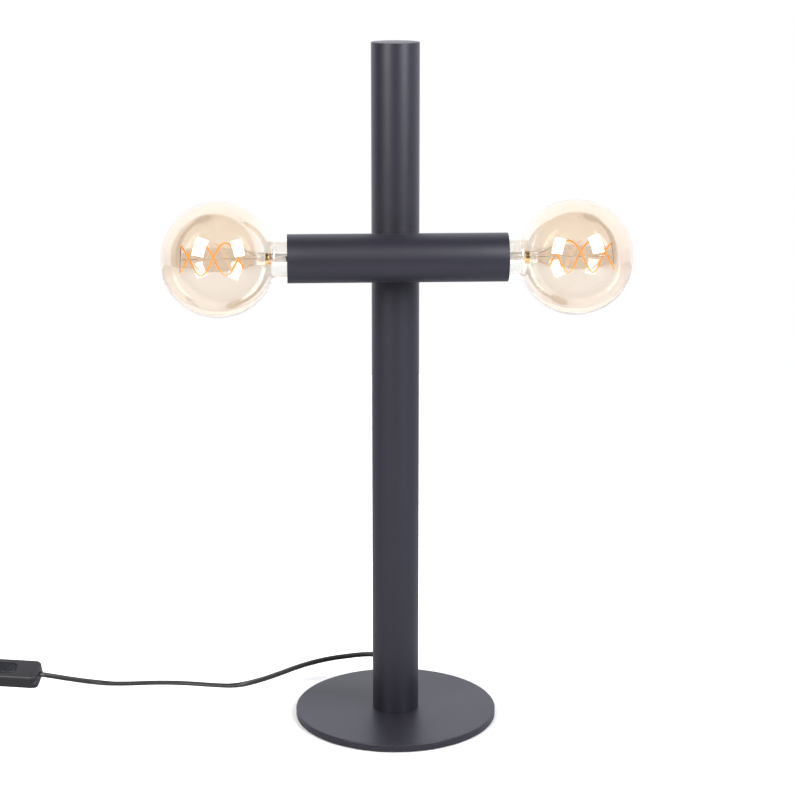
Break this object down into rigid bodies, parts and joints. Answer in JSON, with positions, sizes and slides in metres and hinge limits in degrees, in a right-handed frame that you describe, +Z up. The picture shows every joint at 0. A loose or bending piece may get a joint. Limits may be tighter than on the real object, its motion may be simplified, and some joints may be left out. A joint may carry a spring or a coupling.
{
  "type": "table lamp",
  "caption": "Table lamp: round base, straight tube post, short cross arm with a globe bulb in each end, flat cord with rocker switch, tied coil and plug.",
  "frame": {"origin": "centre of the round base's underside, on the table", "axes": "+Z up along the post, +X along the cross arm to the right, -Y towards the front, where the arm is"},
  "size_m": [0.6757, 0.1937, 0.585],
  "materials": {
    "powder_coat": "fine matt anthracite powder coat",
    "foam_pad": "matt",
    "zinc_steel": "zinc plated",
    "black_plastic": "fine matt",
    "rocker_plastic": "gloss",
    "white_plastic": "satin",
    "cord_pvc": "soft sheen PVC sheath",
    "cap_metal": "bright",
    "cap_insulator": "black glass",
    "contact_brass": "bright",
    "pin_metal": "nickel plated",
    "amber_glass": "clear, amber tint",
    "clear_glass": "clear",
    "wire_metal": "bright",
    "filament": "warm phosphor coat"
  },
  "bodies": {
    "lamp": {"base_plate": "powder_coat", "post_tube": "powder_coat", "post_cap": "powder_coat", "arm_tube": "powder_coat", "saddle_spacer": "powder_coat", "base_pad": "foam_pad", "base_bolt": "zinc_steel", "post_foot": "zinc_steel", "joint_nipple": "zinc_steel", "joint_washers": "zinc_steel", "joint_nuts": "zinc_steel", "holder_nipples": "zinc_steel", "holder_nuts": "zinc_steel", "strain_relief": "black_plastic", "relief_nut": "black_plastic", "post_lead": "cord_pvc", "terminal_block": "white_plastic", "cord_to_switch": "cord_pvc", "cord_from_switch": "cord_pvc", "cord_coil": "cord_pvc", "cord_tail": "cord_pvc", "coil_tie": "black_plastic", "switch_base": "black_plastic", "switch_cover": "black_plastic", "rocker_pin": "black_plastic", "switch_contacts": "contact_brass", "switch_screws": "zinc_steel", "plug_body": "black_plastic", "plug_pins": "pin_metal", "plug_sleeves": "black_plastic", "right_holder_bracket": "zinc_steel", "right_holder_cup": "black_plastic", "right_holder_shell": "cap_metal", "right_holder_contact": "contact_brass", "right_holder_wires": "cord_pvc", "left_holder_bracket": "zinc_steel", "left_holder_cup": "black_plastic", "left_holder_shell": "cap_metal", "left_holder_contact": "contact_brass", "left_holder_wires": "cord_pvc"},
    "right_bulb": {"right_bulb_glass": "amber_glass", "right_bulb_cap": "cap_metal", "right_bulb_insulator": "cap_insulator", "right_bulb_contact": "contact_brass", "right_bulb_stem": "clear_glass", "right_bulb_leads": "wire_metal", "right_bulb_support": "wire_metal", "right_bulb_filament": "filament"},
    "left_bulb": {"left_bulb_glass": "amber_glass", "left_bulb_cap": "cap_metal", "left_bulb_insulator": "cap_insulator", "left_bulb_contact": "contact_brass", "left_bulb_stem": "clear_glass", "left_bulb_leads": "wire_metal", "left_bulb_support": "wire_metal", "left_bulb_filament": "filament"},
    "rocker": {"switch_rocker": "rocker_plastic", "rocker_bridge": "contact_brass"}
  },
  "joints": [
    {"name": "right_bulb_out", "type": "slide", "parent": "lamp", "child": "right_bulb", "axis": [1, 0, 0], "range_m": [0, 0.04]},
    {"name": "left_bulb_out", "type": "slide", "parent": "lamp", "child": "left_bulb", "axis": [-1, 0, 0], "range_m": [0, 0.04]},
    {"name": "switch_rocker", "type": "hinge", "parent": "lamp", "child": "rocker", "pos_m": [-0.35352, 0.08489, 0.01279], "axis": [-0.1829, -0.9155, -0.3584], "range_deg": [0, 12]}
  ]
}
